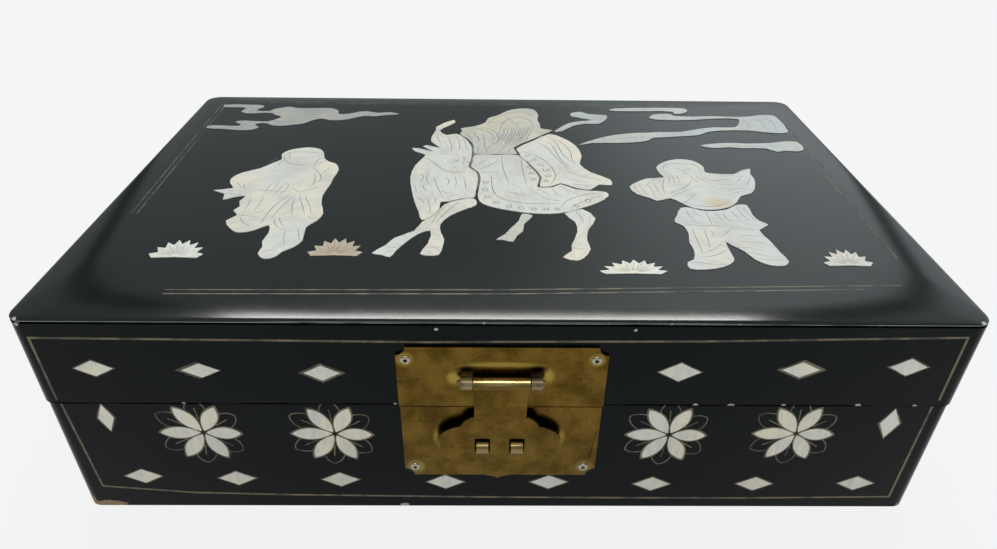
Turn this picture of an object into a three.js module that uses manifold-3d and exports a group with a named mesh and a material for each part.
// A lacquered wooden jewelry box with a hinged lid, a brass hasp lock, a lift-out tray and shell inlay.
// X runs from left to right, Y from front to back and Z up. The origin is the middle of the underside.
import * as THREE from "three";
import { mergeVertices } from "three/addons/utils/BufferGeometryUtils.js";
import Module from "manifold-3d";

// Driving dimensions of the case, in millimetres.
const LENGTH = 305;
const DEPTH = 195;
const HEIGHT = 88;
const RIM = 51.5;
const SEAM = 0.3;
const WALL = 9;
const CORNER = 5;
const BOTTOM = 6;
const JOINT = 0.05;
const ROOM = 0.15;

// The lid: its frame stands a little proud of the base, and its top board ends flush over a shadow groove.
// The board's edge is a sharp arris, then a roll that is wider than it is high, up to the foot of the crown.
const LID_STEP = 0.4;
const LID_BOTTOM = RIM + SEAM;
const LID_SHOULDER = 84.65;
const BOARD_STEP = 0.5;
const GROOVE_DEPTH = 0.8;
const GROOVE_HEIGHT = 0.9;
const ARRIS = 0.15;
const ROLL = { depth: 3, rise: 1, angles: [0, 22, 43, 65] };
const DOME_MARGIN = 16;
const DOME_CORNER = 22;
const DOME_SHARES = [0.2, 0.4, 0.65, 1];

// The shell inlay: each piece lies in its own pocket and stands a little proud.
const SHELL = 1;
const SHELL_PROUD = 0.3;
const SHELL_GAP = 0.3;
const BOARD_TOP = HEIGHT - SHELL_PROUD;
const FRONT_EDGE = -DEPTH / 2;
const SHEET = { scale: 0.983, spread: 0.000079, shift: 0.3, lean: 0.0025, rise: 0.1, turn: 0.0036 };

// The back hinges lie in a groove whose two slopes meet when the lid is open, and stop it.
const LID_OPENING = 94;
const SLOPE = THREE.MathUtils.degToRad(LID_OPENING / 2 + 1);
const AXIS_INSET = 3.2;
const AXIS_Y = DEPTH / 2 - AXIS_INSET;
const AXIS_Z = RIM + SEAM / 2;
const BARREL = 1.9;
const BARREL_BORE = 1.15;
const HINGE_PIN = 1;
const BARREL_ROOM = 0.35;
const LEAF = 1;
const LEAF_REACH = 5.1;
const HINGE_LENGTH = 38;
const HINGE_PLACE = 95;
const KNUCKLE = 12.5;
const KNUCKLE_GAP = 0.3;

// The lock: two plates, a flap on a pin, and two staples.
const LOCK_X = -0.2;
const PLATE = 1;
const PLATE_HALF = 33.9;
const PLATE_TOP = 77;
const PLATE_BOTTOM = 18.1;
const PLATE_NOTCH = 3.2;
const PLATE_HOLE = 1.3;
const UPPER_SCREW = { x: 30.4, z: 71.6 };
const LOWER_SCREW = { x: 29.6, z: 22.3 };
const LATCH_Z = 64.3;
const EYE = 2.2;
const EYE_INNER = 9.4;
const EYE_OUTER = 13.2;
const EYE_TAIL = 1.7;
const LATCH_PIN = 0.95;
const LATCH_BORE = 1.1;
const LATCH_PIN_LEFT = -14.4;
const LATCH_PIN_RIGHT = 13.9;
const ROLL_HALF = 9.1;
const FLAP = 0.9;
const FLAP_LEAN = 0.024;
const FLAP_POINT = 20.1;
const NECK_HALF = 8.65;
const STAPLE_PLACE = 5.87;
const STAPLE_SHIFT = -0.4;
const STAPLE_Z = 36.1;
const STAPLE_WIDTH = 4.1;
const STAPLE_OUTER = 2.5;
const STAPLE_INNER = 1.6;
const STAPLE_REACH = 5.6;
const SLOT_Z = 36.5;
const SLOT_WIDTH = 5.2;
const SLOT_HEIGHT = 6.3;

// The linings, and the tray that rests on them.
const LINING = 2.4;
const PAD = 3;
const LEDGE = 30;
const FIT = 0.3;
const TRAY_FIT = 0.7;
const TRAY_TOP = 49;
const TRAY_FLOOR = 3;
const TRAY_WALL = 3.5;
const DIVIDER = 2.5;
const LONG_DIVIDER_Y = 12;
const BACK_DIVIDER_X = 20;
const FRONT_DIVIDER_X = -40;
const RING_ROLLS = 5;
const RING_PAD_HEIGHT = 11;
const RING_PAD_VALLEY = 6;
const PANEL = 2.4;
const MIRROR = { length: 186, depth: 106, thick: 2 };
const MOULDING = { width: 8, thick: 3 };

const INSIDE_X = LENGTH / 2 - WALL;
const INSIDE_Y = DEPTH / 2 - WALL;
const LID_FACE = DEPTH / 2 + LID_STEP;
const UPPER_PLATE_FACE = -LID_FACE - PLATE;
const LOWER_PLATE_FACE = -DEPTH / 2 - PLATE;
const LATCH_Y = UPPER_PLATE_FACE - EYE - ROOM;

const lacquer = new THREE.MeshStandardMaterial({ color: 0x0c0d0e, roughness: 0.16, metalness: 0 });
const shell = new THREE.MeshStandardMaterial({ color: 0xdedcd2, roughness: 0.32, metalness: 0 });
const agedBrass = new THREE.MeshStandardMaterial({ color: 0x7d6127, roughness: 0.42, metalness: 0.9 });
const brightBrass = new THREE.MeshStandardMaterial({ color: 0xc9a961, roughness: 0.25, metalness: 1 });
const velvet = new THREE.MeshStandardMaterial({ color: 0x7c1522, roughness: 0.95, metalness: 0 });
const silvering = new THREE.MeshStandardMaterial({ color: 0xe8ecee, roughness: 0.03, metalness: 1 });

const wasm = await Module();
wasm.setup();

// A geometry as a solid that can be joined and cut.
function solid(geometry) {
  const plain = geometry.index ? geometry.toNonIndexed() : geometry;
  const bare = new THREE.BufferGeometry().setAttribute("position", plain.getAttribute("position"));
  const merged = mergeVertices(bare);
  return new wasm.Manifold(
    new wasm.Mesh({
      numProp: 3,
      vertProperties: merged.getAttribute("position").array,
      triVerts: new Uint32Array(merged.index.array),
    }),
  );
}

// A solid as a geometry again.
function geometryOf(body) {
  const mesh = body.getMesh();
  const geometry = new THREE.BufferGeometry();
  geometry.setAttribute("position", new THREE.BufferAttribute(new Float32Array(mesh.vertProperties), 3));
  geometry.setIndex(new THREE.BufferAttribute(new Uint32Array(mesh.triVerts), 1));
  geometry.computeVertexNormals();
  return geometry;
}

// The geometry with each of the tools cut away.
function cut(geometry, tools) {
  const body = tools.reduce((left, tool) => left.subtract(solid(tool)), solid(geometry));
  return geometryOf(body);
}

// The geometries joined into one.
function join(geometries) {
  const [first, ...others] = geometries.map(solid);
  return geometryOf(others.reduce((sum, other) => sum.add(other), first));
}

function piece(name, geometry, material) {
  const mesh = new THREE.Mesh(geometry, material.clone());
  mesh.name = name;
  return mesh;
}

// A rectangular block between two corners.
function block([x0, y0, z0], [x1, y1, z1]) {
  const box = new THREE.BoxGeometry(x1 - x0, y1 - y0, z1 - z0);
  return box.translate((x0 + x1) / 2, (y0 + y1) / 2, (z0 + z1) / 2);
}

// The points of a closed line, without those that fall on the one before.
function distinct(points) {
  const before = (i) => points[(i + points.length - 1) % points.length];
  return points.filter((point, i) => point.distanceTo(before(i)) > 1e-3);
}

// An outline with its holes, given a depth along Z.
function extrude(outline, depth) {
  const { shape, holes } = outline.extractPoints(8);
  const clean = new THREE.Shape(distinct(shape));
  clean.holes = holes.map((hole) => new THREE.Path(distinct(hole)));
  return new THREE.ExtrudeGeometry(clean, { depth, bevelEnabled: false });
}

// A plan outline raised from one height to another.
function raise(outline, bottom, top) {
  return extrude(outline, top - bottom).translate(0, 0, bottom);
}

// An outline drawn in X and Z, given a thickness towards the front from the plane y = back.
function plate(outline, back, thickness) {
  return extrude(outline, thickness).rotateX(Math.PI / 2).translate(0, back, 0);
}

// An outline drawn in Y and Z, run along X.
function rail(outline, left, right) {
  const turn = new THREE.Matrix4().makeBasis(
    new THREE.Vector3(0, 1, 0),
    new THREE.Vector3(0, 0, 1),
    new THREE.Vector3(1, 0, 0),
  );
  return extrude(outline, right - left).applyMatrix4(turn).translate(left, 0, 0);
}

// A round bar along X.
function bar(radius, left, right, sides = 20) {
  const rod = new THREE.CylinderGeometry(radius, radius, right - left, sides).rotateZ(-Math.PI / 2);
  return rod.translate((left + right) / 2, 0, 0);
}

function at(geometry, x, y, z) {
  return geometry.clone().translate(x, y, z);
}

// A closed outline that runs smoothly through its points.
function smooth(points, steps = 2) {
  const knots = points.map(([x, y]) => new THREE.Vector3(x, y, 0));
  const curve = new THREE.CatmullRomCurve3(knots, true, "centripetal");
  const count = points.length * steps;
  return Array.from({ length: count }, (_, i) => {
    const { x, y } = curve.getPoint(i / count);
    return new THREE.Vector2(x, y);
  });
}

// An outline moved outwards by a distance all round, with its sharpest corners kept short.
function grown(points, distance) {
  const outline = THREE.ShapeUtils.isClockWise(points) ? [...points].reverse() : points;
  const count = outline.length;
  return outline.map((point, i) => {
    const before = point.clone().sub(outline[(i + count - 1) % count]).normalize();
    const after = outline[(i + 1) % count].clone().sub(point).normalize();
    const outward = new THREE.Vector2(before.y + after.y, -before.x - after.x).normalize();
    const spread = Math.max(outward.x * after.y - outward.y * after.x, 0.6);
    return point.clone().addScaledVector(outward, distance / spread);
  });
}

// One mitred board of a frame, with its outer face to the front and its corners rounded.
function mitredBoard(run, across, wall, bottom, top) {
  const half = run / 2;
  const arcSteps = 4;
  const arc = (side) =>
    Array.from({ length: arcSteps + 1 }, (_, i) => {
      const angle = (i / arcSteps) * (Math.PI / 4);
      const shrink = side * (JOINT * (i === arcSteps ? 1 : 0));
      const x = side * (half - CORNER + CORNER * Math.sin(angle)) - shrink;
      return new THREE.Vector2(x, -across + CORNER - CORNER * Math.cos(angle));
    });
  const inner = (side) => new THREE.Vector2(side * (half - wall - JOINT), -across + wall);
  const outline = [...arc(-1).reverse(), ...arc(1), inner(1), inner(-1)];
  return raise(new THREE.Shape(outline), bottom, top);
}

// The four boards of a frame, as geometries named by their side.
function frameBoards(length, depth, wall, bottom, top) {
  const quarter = Math.PI / 2;
  return {
    front: mitredBoard(length, depth / 2, wall, bottom, top),
    right: mitredBoard(depth, length / 2, wall, bottom, top).rotateZ(quarter),
    back: mitredBoard(length, depth / 2, wall, bottom, top).rotateZ(2 * quarter),
    left: mitredBoard(depth, length / 2, wall, bottom, top).rotateZ(3 * quarter),
  };
}

// The groove along the back of the seam, in which the hinges lie.
function backGroove() {
  const reach = 12;
  const rise = reach * Math.tan(SLOPE);
  const outline = new THREE.Shape([
    new THREE.Vector2(AXIS_Y, AXIS_Z),
    new THREE.Vector2(AXIS_Y + reach, AXIS_Z - rise),
    new THREE.Vector2(AXIS_Y + reach, AXIS_Z + rise),
  ]);
  return rail(outline, -LENGTH, LENGTH);
}

// What each hinge needs cut from the back boards: room for its barrel and for both leaves.
function hingeRoom(x) {
  const half = HINGE_LENGTH / 2 + ROOM;
  const deep = SEAM / 2 + LEAF + 0.1;
  const front = -LEAF_REACH - ROOM;
  return [
    at(bar(BARREL + BARREL_ROOM, -half, half), x, AXIS_Y, AXIS_Z),
    at(block([-half, front, -deep], [half, 0, deep]), x, AXIS_Y, AXIS_Z),
  ];
}

// A hinge leaf round the axis, with its knuckles. The side is 1 for the lid's leaf and -1 for the base's.
function hingeLeaf(side) {
  const half = HINGE_LENGTH / 2;
  const middle = half - KNUCKLE;
  const outer = [[-half, -middle], [middle, half]];
  const spans = side > 0 ? [[-middle + KNUCKLE_GAP, middle - KNUCKLE_GAP]] : outer;
  const near = (side * SEAM) / 2;
  const far = near + side * LEAF;
  const low = Math.min(near, far);
  const high = Math.max(near, far);
  const clear = -BARREL - BARREL_ROOM;
  const strip = block([-half, -LEAF_REACH, low], [half, clear, high]);
  const fingers = spans.map(([x0, x1]) => block([x0, clear - 0.5, low], [x1, 0, high]));
  const rings = spans.map(([x0, x1]) => bar(BARREL, x0, x1));
  const bores = spans.map(([x0, x1]) => bar(BARREL_BORE, x0 - 1, x1 + 1));
  return cut(join([strip, ...fingers, ...rings]), bores);
}

// A plate outline with rounded bites out of two of its corners.
function notchedPlate(half, straight, notched) {
  const up = Math.sign(notched - straight);
  const shape = new THREE.Shape();
  shape.moveTo(-half, straight);
  shape.lineTo(half, straight);
  shape.lineTo(half, notched - up * PLATE_NOTCH);
  shape.absarc(half, notched, PLATE_NOTCH, -up * (Math.PI / 2), Math.PI, up > 0);
  shape.lineTo(-half + PLATE_NOTCH, notched);
  shape.absarc(-half, notched, PLATE_NOTCH, 0, -up * (Math.PI / 2), up > 0);
  return shape;
}

// A round hole for a screw, through a plate of the lock.
function screwHole(side, screw) {
  const drill = new THREE.CylinderGeometry(PLATE_HOLE, PLATE_HOLE, 8 * PLATE, 16);
  return drill.translate(side * screw.x, -DEPTH / 2, screw.z);
}

// A rectangular hole through a plate of the lock, with a little room round the part that goes through it.
function slotHole(x, z, width, height) {
  const slot = new THREE.BoxGeometry(width + 2 * ROOM, 8 * PLATE, height + 2 * ROOM);
  return slot.translate(x, -DEPTH / 2, z);
}

// The upper lock plate, slotted for the tails of the two eyes.
function upperPlate() {
  const sheet = plate(notchedPlate(PLATE_HALF, LID_BOTTOM + 0.2, PLATE_TOP), -LID_FACE, PLATE);
  const width = EYE_OUTER - EYE_INNER;
  const holes = [-1, 1].flatMap((side) => [
    screwHole(side, UPPER_SCREW),
    slotHole(side * (EYE_INNER + width / 2), LATCH_Z, width, 2 * EYE_TAIL),
  ]);
  return cut(sheet, holes).translate(LOCK_X, 0, 0);
}

// The lower lock plate, slotted for the legs of the two staples.
function lowerPlate() {
  const sheet = plate(notchedPlate(PLATE_HALF - 0.2, RIM - 0.2, PLATE_BOTTOM), -DEPTH / 2, PLATE);
  const holes = [-1, 1].flatMap((side) => [
    screwHole(side, LOWER_SCREW),
    slotHole(STAPLE_SHIFT + side * STAPLE_PLACE, STAPLE_Z, STAPLE_WIDTH, 2 * STAPLE_OUTER),
  ]);
  return cut(sheet, holes).translate(LOCK_X, 0, 0);
}

// An eye: a strap rolled round the pin, with its tail through the plate.
function latchEye(side) {
  const x0 = Math.min(side * EYE_INNER, side * EYE_OUTER);
  const x1 = Math.max(side * EYE_INNER, side * EYE_OUTER);
  const tail = block([x0, 0, -EYE_TAIL], [x1, -LID_FACE - JOINT - LATCH_Y, EYE_TAIL]);
  const eye = cut(join([bar(EYE, x0, x1, 24), tail]), [bar(LATCH_BORE, x0 - 1, x1 + 1)]);
  return eye.translate(LOCK_X, LATCH_Y, LATCH_Z);
}

// A point of the flap at a distance from its middle line, which leans a little to the left on its way down.
function flapPoint(x, z) {
  return new THREE.Vector2(x - FLAP_LEAN * (LATCH_Z - z), z);
}

// The flap's cloud outline, from the neck round to the point: lobes that meet in cusps.
function flapOutline() {
  const half = (side) => {
    const path = new THREE.CurvePath();
    const v = (x, z) => flapPoint(side * x, z);
    path.add(new THREE.LineCurve(v(NECK_HALF, LATCH_Z - 1.5), v(NECK_HALF, 49.8)));
    path.add(new THREE.CubicBezierCurve(v(NECK_HALF, 49.8), v(10.4, 49.2), v(12.4, 47.4), v(13.2, 45.3)));
    path.add(new THREE.CubicBezierCurve(v(13.2, 45.3), v(17, 44.6), v(21.1, 42), v(21.2, 37.5)));
    path.add(new THREE.CubicBezierCurve(v(21.2, 37.5), v(21.3, 32.4), v(17.6, 28.7), v(12.3, 28.2)));
    path.add(new THREE.CubicBezierCurve(v(12.3, 28.2), v(11.4, 25.8), v(8, 22.2), v(2.9, 21.4)));
    path.add(new THREE.QuadraticBezierCurve(v(2.9, 21.4), v(0.9, 21.2), v(0, FLAP_POINT)));
    return path.curves.flatMap((curve) => curve.getPoints(curve.isLineCurve ? 1 : 6).slice(0, -1));
  };
  const right = half(1);
  const left = half(-1).reverse();
  return new THREE.Shape([...right, flapPoint(0, FLAP_POINT), ...left]);
}

// The flap: a cloud-shaped sheet rolled round the pin at its top, with a slot for each staple.
function flap() {
  const sheet = plate(flapOutline(), FLAP / 2, FLAP).translate(0, 0, -LATCH_Z);
  const slots = [-1, 1].map((side) => {
    const slot = new THREE.BoxGeometry(SLOT_WIDTH, 2 * FLAP, SLOT_HEIGHT);
    return slot.translate(STAPLE_SHIFT + side * STAPLE_PLACE, 0, SLOT_Z - LATCH_Z);
  });
  const rolled = join([sheet, bar(EYE, -ROLL_HALF, ROLL_HALF, 24)]);
  return cut(rolled, [...slots, bar(LATCH_BORE, -ROLL_HALF - 1, ROLL_HALF + 1)]);
}

// A staple: a U of strip whose eye runs along X, with its round end in front of the flap.
function staple(side) {
  const back = -DEPTH / 2 - JOINT;
  const end = LOWER_PLATE_FACE - STAPLE_REACH + STAPLE_OUTER;
  const outline = new THREE.Shape();
  outline.moveTo(back, -STAPLE_OUTER);
  outline.lineTo(back, STAPLE_OUTER);
  outline.lineTo(end, STAPLE_OUTER);
  outline.absarc(end, 0, STAPLE_OUTER, Math.PI / 2, (3 * Math.PI) / 2, false);
  const eye = new THREE.Path();
  eye.moveTo(LOWER_PLATE_FACE, -STAPLE_INNER);
  eye.lineTo(LOWER_PLATE_FACE, STAPLE_INNER);
  eye.lineTo(end, STAPLE_INNER);
  eye.absarc(end, 0, STAPLE_INNER, Math.PI / 2, (3 * Math.PI) / 2, false);
  outline.holes.push(eye);
  const x = LOCK_X + STAPLE_SHIFT + side * STAPLE_PLACE;
  return rail(outline, x - STAPLE_WIDTH / 2, x + STAPLE_WIDTH / 2).translate(0, 0, STAPLE_Z);
}

// One level of the top board: a rounded rectangle at an inset from the board's edge.
function boardLevel(inset, height, corner) {
  const halfX = LENGTH / 2 + BOARD_STEP - inset;
  const halfY = DEPTH / 2 + BOARD_STEP - inset;
  const steps = 6;
  const level = [];
  for (const [sx, sy, start] of [[1, -1, -90], [1, 1, 0], [-1, 1, 90], [-1, -1, 180]]) {
    for (let i = 0; i <= steps; i += 1) {
      const angle = THREE.MathUtils.degToRad(start + (90 * i) / steps);
      const x = sx * (halfX - corner) + corner * Math.cos(angle);
      level.push(new THREE.Vector3(x, sy * (halfY - corner) + corner * Math.sin(angle), height));
    }
  }
  return level;
}

// A closed body through levels of equal point counts, from the lowest to the highest.
function loft(levels) {
  const count = levels[0].length;
  const last = levels.length - 1;
  const positions = levels.flat().flatMap((point) => point.toArray());
  const index = [];
  for (let level = 0; level < last; level += 1) {
    for (let i = 0; i < count; i += 1) {
      const a = level * count + i;
      const b = level * count + ((i + 1) % count);
      index.push(a, b, b + count, a, b + count, a + count);
    }
  }
  for (let i = 1; i < count - 1; i += 1) {
    index.push(0, i + 1, i);
    index.push(last * count, last * count + i, last * count + i + 1);
  }
  const geometry = new THREE.BufferGeometry();
  geometry.setAttribute("position", new THREE.Float32BufferAttribute(positions, 3));
  geometry.setIndex(index);
  return geometry;
}

// The rolled edge at an angle round it: its inset from the board's edge, and its height.
function rollAt(degrees) {
  const angle = THREE.MathUtils.degToRad(degrees);
  const inset = ROLL.depth * (1 - Math.cos(angle));
  return { inset, height: LID_SHOULDER + GROOVE_HEIGHT + ARRIS + ROLL.rise * Math.sin(angle) };
}

// The top board: a shadow groove, a sharp lower arris, a rolled edge, and a very shallow crown.
function topBoard() {
  const groove = LID_SHOULDER + GROOVE_HEIGHT;
  const outerCorner = CORNER + BOARD_STEP;
  const roll = ROLL.angles.map((degrees) => rollAt(degrees));
  const foot = roll.at(-1);
  const crown = DOME_SHARES.map((share) => {
    const inset = foot.inset + share * (DOME_MARGIN - foot.inset);
    const corner = outerCorner + foot.inset + share * (DOME_CORNER - outerCorner - foot.inset);
    return boardLevel(inset, BOARD_TOP - (BOARD_TOP - foot.height) * (1 - share) ** 2, corner);
  });
  return loft([
    boardLevel(GROOVE_DEPTH, LID_SHOULDER, outerCorner - GROOVE_DEPTH),
    boardLevel(GROOVE_DEPTH, groove, outerCorner - GROOVE_DEPTH),
    boardLevel(ARRIS, groove, outerCorner - ARRIS),
    ...roll.map(({ inset, height }) => boardLevel(inset, height, outerCorner + inset)),
    ...crown,
  ]);
}

// The inlay's outlines on their drawing sheet, as seen from above: x from the middle, y from the front.
// Clouds drift along the back, a sage rides a horned beast between two attendants, and grass grows below.
const CLOUD_LEFT = [
  [-140, 179.2], [-125, 179.4], [-120.2, 178.6], [-119.4, 176], [-121.6, 173.6], [-121.2, 171.4],
  [-115, 170.9], [-113.4, 173.8], [-110.5, 175.4], [-106.5, 177], [-102, 175.3], [-92, 175.5],
  [-84.5, 175.3], [-80.8, 172], [-80, 167.8], [-75.5, 167.8], [-70, 171], [-65.5, 171.3],
  [-60.5, 169.4], [-55, 170.6], [-49.8, 168], [-56.5, 166.8], [-62, 165], [-67, 165.5], [-72, 162.4],
  [-76.5, 160], [-83, 159.6], [-87.5, 161.6], [-91.5, 159.2], [-95, 155], [-101, 153], [-106, 151.6],
  [-110.6, 153], [-112.4, 154.8], [-117.2, 154.6], [-117.6, 152.4], [-115.2, 150], [-117.6, 146.9],
  [-124, 146.2], [-132, 147.6], [-139.6, 148.5], [-139.8, 151.2], [-132, 151.5], [-125.2, 151.3],
  [-124.6, 153.2], [-128.4, 156.5], [-124, 158], [-113, 157], [-109.6, 160], [-107.4, 163.4],
  [-111.4, 166], [-113.4, 168.5], [-119, 168.4], [-125.4, 167.6], [-129.2, 170.4], [-127.8, 174.6],
  [-131, 176], [-139.6, 176.4],
];
const CLOUD_BACK = [
  [56.2, 176], [60, 178], [75, 179.2], [90, 179.4], [96.2, 178.2], [96.4, 175], [93, 171.8],
  [88.8, 171.4], [89, 174.2], [75, 174.8], [60, 174.6],
];
const CLOUD_RIGHT = [
  [75.4, 165.2], [78, 169.8], [83, 171], [86.8, 170.6], [88.4, 168.4], [98, 167.5], [106, 168.3],
  [118, 167.6], [127, 168.4], [132, 170.2], [138.8, 170], [140, 168], [140, 150], [138.4, 147.6],
  [134, 147], [127, 148.4], [121, 150], [107, 149.8], [100, 147.6], [95, 144], [86, 142.4], [78, 141],
  [72.5, 140.2], [70, 137.4], [66, 135.6], [56, 134], [43, 133.8], [36.4, 131.2], [44, 137.4],
  [54, 143], [66, 146], [71, 146.2], [76, 147.2], [87, 147.4], [97, 151.6], [106, 153.7],
  [115, 153.8], [118.4, 158.5], [119.8, 164.8], [108, 165.3], [97, 163.3], [80, 163.1],
];
const CLOUD_LOW = [
  [93, 131.4], [98, 133.4], [108, 134.8], [115, 134.1], [127, 135.1], [133, 136.8], [139.6, 136.6],
  [140, 128], [136.5, 125.8], [131, 126.4], [126.6, 125.3], [122.6, 128.8], [112, 129], [106, 129.9],
  [98.4, 129],
];
const LEFT_ATTENDANT = [
  [-86, 126.5], [-81.2, 124.8], [-78.6, 120.5], [-77.4, 115.2], [-75, 111.8], [-71.4, 109.4],
  [-69.2, 103.5], [-70, 96], [-70.3, 89.5], [-71.6, 80], [-70.6, 72.5], [-68.6, 65], [-70, 59.4],
  [-73, 54.5], [-72.3, 45], [-74.6, 40.4], [-77.8, 37.4], [-79.6, 34], [-83, 32.7], [-86, 36],
  [-85.6, 40.5], [-86.6, 44.4], [-85.8, 50], [-87.2, 56], [-91.5, 52.2], [-97, 50.4], [-100.6, 53.2],
  [-104, 59], [-101, 63.4], [-103.5, 67], [-102, 70.2], [-103.3, 74.6], [-102, 79.2], [-106.5, 78],
  [-110.2, 75.8], [-111, 80.8], [-116.4, 83.8], [-109, 85.7], [-111.4, 90], [-112.3, 94.4],
  [-109.6, 99.8], [-103, 104.2], [-98.6, 110], [-95.8, 113.6], [-97, 119], [-94.6, 123.3],
  [-90.4, 125.6],
];
const RIGHT_ATTENDANT_COAT = [
  [81, 116.4], [86, 114.4], [88.8, 108.4], [88.2, 103.4], [91, 102], [100, 101.6], [104, 104.8],
  [108.8, 107], [107.4, 102], [107.7, 97], [105.4, 88.6], [102.6, 84], [97.4, 81.2], [94.4, 76],
  [90, 71.8], [82.5, 69.6], [76, 71], [72, 75.2], [68.2, 79.2], [62.6, 76.8], [59.8, 79.6],
  [55.4, 82.6], [53.3, 89], [57.4, 93.6], [62, 96.8], [69.4, 98], [68.4, 101.6], [68, 108],
  [71.6, 112.6], [76.4, 115.6],
];
const RIGHT_ATTENDANT_ROBE = [
  [74.4, 71.2], [78, 69], [83, 68.5], [89, 70], [93.6, 73.7], [97.6, 73.6], [97.5, 66], [98.8, 61],
  [101.4, 58], [96.6, 54], [98.2, 46], [99.4, 38], [100.4, 32.4], [98, 29.6], [93, 30], [89, 33.4],
  [86.6, 39], [83.2, 43.2], [81.6, 45.4], [81.5, 37], [81.2, 32.6], [76.6, 28.8], [70, 27.1],
  [64.4, 27.6], [64.6, 31.6], [67.2, 33.4], [68.6, 40], [68.2, 45], [69.3, 51], [68.6, 57], [66, 60],
  [68, 65], [70.8, 71],
];
const RIDER_BODY = [
  [14, 177.2], [18, 175.4], [19.8, 168], [19, 162], [20, 155.6], [20.2, 150.6], [25.4, 148.6],
  [21.8, 144.4], [14.6, 136.8], [6.2, 127.6], [7.9, 121.2], [0, 120.9], [-11.4, 120.9], [-11.8, 129],
  [-14.6, 137.4], [-18.6, 143.4], [-17.6, 147], [-18.5, 150], [-12, 152.8], [-6.8, 157.6],
  [-5.2, 163.6], [-0.6, 167.2], [4.4, 173.6], [9, 176.4],
];
const RIDER_SLEEVE = [
  [24, 144], [29.6, 139.5], [34.8, 131], [36.6, 119], [34.9, 110.6], [38.8, 102.5], [46.2, 95.6],
  [46, 90.4], [41, 91], [36.8, 86.2], [31, 87.8], [25, 92], [21.4, 89.4], [16.2, 88.8], [17.4, 97],
  [13.6, 109], [9.3, 118], [8.8, 122], [7.5, 126.6], [15.6, 135.6],
];
const RIDER_SKIRT = [
  [7.8, 119.7], [-2, 119.7], [-11.2, 119.6], [-12, 112], [-12.6, 107.4], [-9.2, 101.8], [-8.4, 94],
  [-9.4, 82], [-8.6, 75.6], [-5, 71.8], [4, 68], [14, 65.8], [23, 66.4], [31, 70.2], [38, 74.6],
  [43.6, 81], [42.8, 84.2], [36.4, 85.2], [30.2, 86.8], [24.8, 90.9], [21.8, 88.4], [16, 87.8],
  [15, 89], [16.4, 97], [12.6, 108.6],
];
const BEAST_HEAD = [
  [-22.4, 160.8], [-21.4, 157.6], [-26.8, 150.6], [-28.2, 147], [-26.6, 143.4], [-24.6, 141.8],
  [-20.4, 143.4], [-16, 138], [-13, 129], [-12.6, 121], [-13, 113], [-13.9, 107.2], [-10.6, 102.4],
  [-9.5, 95], [-10.3, 84], [-10.8, 79], [-16, 77.8], [-21, 75.4], [-24, 75], [-24.2, 69],
  [-27.4, 62.6], [-30.4, 60.4], [-32.2, 67], [-34.4, 75], [-36.4, 85], [-38, 97], [-37, 108],
  [-34, 116.4], [-33.4, 119.6], [-38, 123], [-39.8, 126.6], [-36, 126], [-29.4, 122.7], [-35, 128.6],
  [-33, 129.8], [-26.8, 126.6], [-31.6, 134], [-31.6, 141], [-30.2, 148], [-30.4, 151.6],
];
const BEAST_FORELEG = [
  [-11.2, 78], [-17, 76.6], [-22.4, 72.8], [-25.6, 65], [-30.2, 58.8], [-32.6, 52.4], [-39.4, 47],
  [-42, 42], [-46.2, 36.6], [-42.6, 35.6], [-39.6, 34.2], [-37.8, 38.6], [-35, 44], [-31, 50],
  [-26.6, 52.6], [-27, 43], [-29.2, 36.4], [-26.4, 35.2], [-22.6, 35.8], [-21.4, 42], [-21.2, 46.4],
  [-22.6, 51], [-23.2, 57], [-20, 63.6], [-14, 69.2], [-10, 72.4], [-9.9, 76],
];
const BEAST_HIND_LEG = [
  [24.4, 66], [31.6, 69.6], [36, 62], [32.4, 54], [31, 46], [31.6, 40], [28.4, 34], [25.8, 32.4],
  [21.2, 34.6], [24.6, 38.6], [24.9, 42.4], [28, 52], [27.8, 59.6],
];
const BEAST_FAR_HIND_LEG = [
  [8, 65.6], [12, 64.2], [8.4, 57.8], [7.8, 52.4], [5.4, 49], [3.8, 44.8], [0, 46.2], [-2.2, 46.2],
  [1, 50], [3, 54], [6.6, 60.4],
];
const RIBBON = [
  [26.4, 147.2], [30, 147.6], [36, 154.4], [42, 157.2], [49, 157.5], [53.2, 163], [54.2, 168.4],
  [45.2, 170], [41.4, 173], [36.6, 171.2], [36.4, 166.6], [46.6, 162.2], [40, 160.4], [34, 157.6],
  [28.4, 150.4],
];

// A tuft of grass: a fan of blades that rise from a short, gently waved foot.
function tuft(x, y, width, height, blades, lean) {
  const points = [new THREE.Vector2(x - width * 0.4, y), new THREE.Vector2(x, y + height * 0.04)];
  points.push(new THREE.Vector2(x + width * 0.4, y));
  const steps = 2 * blades;
  for (let i = 0; i <= steps; i += 1) {
    const angle = THREE.MathUtils.degToRad(12 + (156 * i) / steps);
    const reach = i % 2 === 0 ? 1 : 0.74;
    const px = x + (width / 2) * reach * Math.cos(angle) + lean * Math.sin(angle);
    points.push(new THREE.Vector2(px, y + height * reach * Math.sin(angle)));
  }
  return points;
}

// A point of the drawing sheet, placed on the board. The sheet is a little wide, more so at the front, and
// lies turned by a small angle.
function onBoard({ x, y }) {
  const across = x * (SHEET.scale + SHEET.spread * y) + SHEET.shift - SHEET.lean * y;
  return new THREE.Vector2(across, FRONT_EDGE + y + SHEET.rise + SHEET.turn * x);
}

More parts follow.
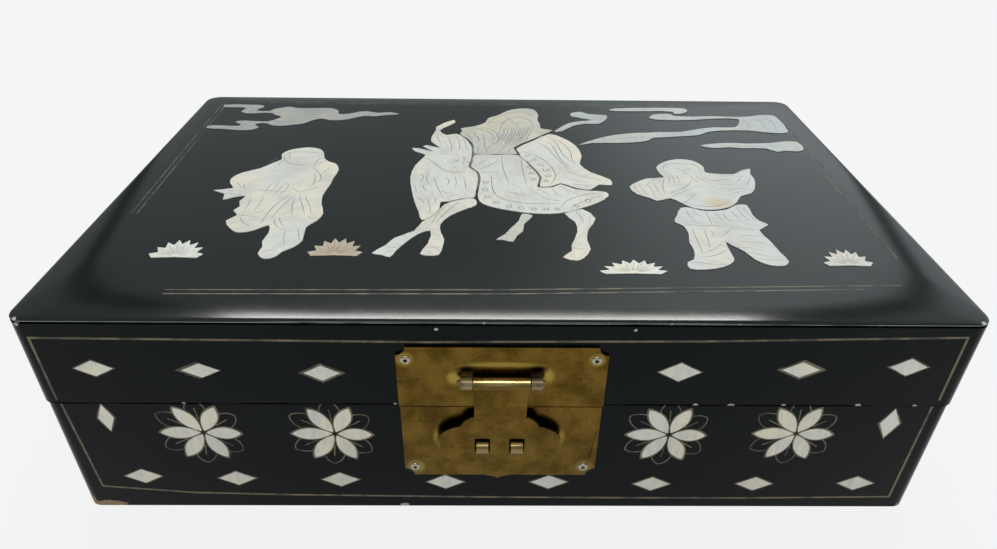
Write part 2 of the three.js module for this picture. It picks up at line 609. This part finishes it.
// Every inlay piece: its name, and its outline round the middle of the box.
function inlayOutlines() {
  const drawn = {
    cloud_left: CLOUD_LEFT,
    cloud_back: CLOUD_BACK,
    cloud_right: CLOUD_RIGHT,
    cloud_low: CLOUD_LOW,
    left_attendant: LEFT_ATTENDANT,
    right_attendant_coat: RIGHT_ATTENDANT_COAT,
    right_attendant_robe: RIGHT_ATTENDANT_ROBE,
    rider_body: RIDER_BODY,
    rider_sleeve: RIDER_SLEEVE,
    rider_skirt: RIDER_SKIRT,
    beast_head: BEAST_HEAD,
    beast_foreleg: BEAST_FORELEG,
    beast_hind_leg: BEAST_HIND_LEG,
    beast_far_hind_leg: BEAST_FAR_HIND_LEG,
    ribbon: RIBBON,
  };
  const outlines = Object.entries(drawn).map(([name, points]) => [name, smooth(points)]);
  outlines.push(["tuft_far_left", tuft(-114.4, 33.2, 19.5, 12, 7, 0)]);
  outlines.push(["tuft_left", tuft(-59.4, 34.8, 20, 12, 7, 0.6)]);
  outlines.push(["tuft_middle", tuft(44.4, 24.2, 24, 9, 8, 1.4)]);
  outlines.push(["tuft_right", tuft(121, 29.6, 18, 11, 7, 1)]);
  return outlines.map(([name, points]) => [name, points.map(onBoard)]);
}

// The base: four mitred walls round a let-in bottom, grooved along the back for the hinges.
function buildBase() {
  const base = new THREE.Group();
  const boards = frameBoards(LENGTH, DEPTH, WALL, 0, RIM);
  const hinges = [-HINGE_PLACE, HINGE_PLACE];
  const groove = backGroove();
  const bottomX = INSIDE_X - 2 * JOINT;
  const bottomY = INSIDE_Y - 2 * JOINT;
  base.add(
    piece("base_front_wall", boards.front, lacquer),
    piece("base_back_wall", cut(boards.back, [groove, ...hinges.flatMap(hingeRoom)]), lacquer),
    piece("base_left_wall", cut(boards.left, [groove]), lacquer),
    piece("base_right_wall", cut(boards.right, [groove]), lacquer),
    piece("base_bottom_board", block([-bottomX, -bottomY, 0], [bottomX, bottomY, BOTTOM]), lacquer),
  );
  hinges.forEach((x, i) => {
    const side = ["left", "right"][i];
    const pin = bar(HINGE_PIN, -HINGE_LENGTH / 2 - 0.1, HINGE_LENGTH / 2 + 0.1);
    base.add(
      piece("hinge_lower_leaf_" + side, at(hingeLeaf(-1), x, AXIS_Y, AXIS_Z), agedBrass),
      piece("hinge_pin_" + side, at(pin, x, AXIS_Y, AXIS_Z), agedBrass),
    );
  });
  base.add(
    piece("lock_plate_lower", lowerPlate(), agedBrass),
    piece("staple_left", staple(-1), brightBrass),
    piece("staple_right", staple(1), brightBrass),
  );
  return base;
}

// The cloth-covered pad and panels in the well. The tray rests on the panels' top edges.
function buildLining() {
  const lining = new THREE.Group();
  const x = INSIDE_X - FIT;
  const y = INSIDE_Y - FIT;
  const floor = BOTTOM + PAD;
  const sideEnd = y - LINING - FIT;
  lining.add(
    piece("lining_floor_pad", block([-x, -y, BOTTOM], [x, y, floor]), velvet),
    piece("lining_front", block([-x, -y, floor], [x, -y + LINING, LEDGE]), velvet),
    piece("lining_back", block([-x, y - LINING, floor], [x, y, LEDGE]), velvet),
    piece("lining_left", block([-x, -sideEnd, floor], [-x + LINING, sideEnd, LEDGE]), velvet),
    piece("lining_right", block([x - LINING, -sideEnd, floor], [x, sideEnd, LEDGE]), velvet),
  );
  return lining;
}

// The lid: a mitred frame under a crowned top board, with the inlay let into the board.
function buildLid() {
  const lid = new THREE.Group();
  const wall = WALL + LID_STEP;
  const boards = frameBoards(LENGTH + 2 * LID_STEP, DEPTH + 2 * LID_STEP, wall, LID_BOTTOM, LID_SHOULDER);
  const hinges = [-HINGE_PLACE, HINGE_PLACE];
  const groove = backGroove();
  const outlines = inlayOutlines();
  const pocketFloor = BOARD_TOP + SHELL_PROUD - SHELL;
  const pockets = outlines.map(([, points]) =>
    raise(new THREE.Shape(grown(points, SHELL_GAP)), pocketFloor, HEIGHT + 1),
  );
  lid.add(
    piece("lid_front_wall", boards.front, lacquer),
    piece("lid_back_wall", cut(boards.back, [groove, ...hinges.flatMap(hingeRoom)]), lacquer),
    piece("lid_left_wall", cut(boards.left, [groove]), lacquer),
    piece("lid_right_wall", cut(boards.right, [groove]), lacquer),
    piece("lid_top_board", cut(topBoard(), pockets), lacquer),
  );
  // Each piece is trimmed to fit beside those before it.
  outlines.forEach(([name, points], i) => {
    const blank = raise(new THREE.Shape(points), pocketFloor + JOINT, HEIGHT);
    lid.add(piece("shell_" + name, cut(blank, pockets.slice(0, i)), shell));
  });
  hinges.forEach((x, i) => {
    const name = "hinge_upper_leaf_" + ["left", "right"][i];
    lid.add(piece(name, at(hingeLeaf(1), x, AXIS_Y, AXIS_Z), agedBrass));
  });
  const pin = bar(LATCH_PIN, LATCH_PIN_LEFT, LATCH_PIN_RIGHT).translate(LOCK_X, LATCH_Y, LATCH_Z);
  lid.add(
    piece("lock_plate_upper", upperPlate(), agedBrass),
    piece("latch_eye_left", latchEye(-1), brightBrass),
    piece("latch_eye_right", latchEye(1), brightBrass),
    piece("latch_pin", pin, brightBrass),
  );
  return lid;
}

function rectangle(halfX, halfY) {
  const corners = [[-1, -1], [1, -1], [1, 1], [-1, 1]];
  return corners.map(([x, y]) => new THREE.Vector2(x * halfX, y * halfY));
}

// The mirror in its moulding, on a cloth-covered panel in the lid.
function buildMirror() {
  const mirror = new THREE.Group();
  const x = INSIDE_X - FIT;
  const y = INSIDE_Y - FIT;
  const panelTop = LID_SHOULDER - JOINT;
  const panelBottom = panelTop - PANEL;
  const glassTop = panelBottom - JOINT;
  const glassX = MIRROR.length / 2;
  const glassY = MIRROR.depth / 2;
  const glass = block([-glassX, -glassY, glassTop - MIRROR.thick], [glassX, glassY, glassTop]);
  const rebate = [glassX + FIT, glassY + FIT];
  const outline = new THREE.Shape(rectangle(...rebate.map((half) => half + MOULDING.width)));
  outline.holes.push(new THREE.Path(rectangle(...rebate)));
  mirror.add(
    piece("lid_lining_panel", block([-x, -y, panelBottom], [x, y, panelTop]), velvet),
    piece("mirror_frame", raise(outline, glassTop - MOULDING.thick, glassTop), agedBrass),
    piece("mirror_glass", glass, silvering),
  );
  return mirror;
}

// The roll of cushions for rings: half-round ridges side by side, with slots between them.
function ringPad(front, back, left, right, bottom) {
  const pitch = (back - front) / RING_ROLLS;
  const steps = 6;
  const outline = [new THREE.Vector2(front, bottom)];
  for (let roll = 0; roll < RING_ROLLS; roll += 1) {
    const middle = front + (roll + 0.5) * pitch;
    for (let i = 0; i <= steps; i += 1) {
      const angle = Math.PI * (1 - i / steps);
      const y = middle + (pitch / 2 - 0.15) * Math.cos(angle);
      const rise = (RING_PAD_HEIGHT - RING_PAD_VALLEY) * Math.sin(angle);
      outline.push(new THREE.Vector2(y, bottom + RING_PAD_VALLEY + rise));
    }
  }
  outline.push(new THREE.Vector2(back, bottom));
  return rail(new THREE.Shape(outline), left, right);
}

// The tray that lifts out of the well.
function buildTray() {
  const tray = new THREE.Group();
  const x = INSIDE_X - TRAY_FIT;
  const y = INSIDE_Y - TRAY_FIT;
  const floor = LEDGE + TRAY_FLOOR;
  const innerX = x - TRAY_WALL;
  const innerY = y - TRAY_WALL;
  const endX = innerX - JOINT;
  const endY = innerY - JOINT;
  const frontEdge = LONG_DIVIDER_Y - JOINT;
  const backEdge = LONG_DIVIDER_Y + DIVIDER + JOINT;
  const divider = (x0, y0, x1, y1) => block([x0, y0, floor], [x1, y1, TRAY_TOP - 1]);
  const pad = ringPad(-endY - JOINT + FIT, frontEdge - FIT, -endX + FIT, FRONT_DIVIDER_X - FIT, floor);
  const backDividerEnd = BACK_DIVIDER_X + DIVIDER;
  const frontDividerEnd = FRONT_DIVIDER_X + DIVIDER;
  tray.add(
    piece("tray_floor", block([-x, -y, LEDGE], [x, y, floor]), velvet),
    piece("tray_front_wall", block([-x, -y, floor], [x, -innerY, TRAY_TOP]), velvet),
    piece("tray_back_wall", block([-x, innerY, floor], [x, y, TRAY_TOP]), velvet),
    piece("tray_left_wall", block([-x, -endY, floor], [-innerX, endY, TRAY_TOP]), velvet),
    piece("tray_right_wall", block([innerX, -endY, floor], [x, endY, TRAY_TOP]), velvet),
    piece("tray_long_divider", divider(-endX, LONG_DIVIDER_Y, endX, LONG_DIVIDER_Y + DIVIDER), velvet),
    piece("tray_back_divider", divider(BACK_DIVIDER_X, backEdge, backDividerEnd, endY), velvet),
    piece("tray_front_divider", divider(FRONT_DIVIDER_X, -endY, frontDividerEnd, frontEdge), velvet),
    piece("tray_ring_pad", pad, velvet),
  );
  return tray;
}

function buildHasp() {
  const hasp = new THREE.Group();
  hasp.position.set(LOCK_X, LATCH_Y, LATCH_Z);
  hasp.add(piece("hasp_flap", flap(), agedBrass));
  return hasp;
}

const jewelryBox = new THREE.Group();
jewelryBox.add(buildBase(), buildLining(), buildLid(), buildMirror(), buildHasp(), buildTray());

export default jewelryBox;
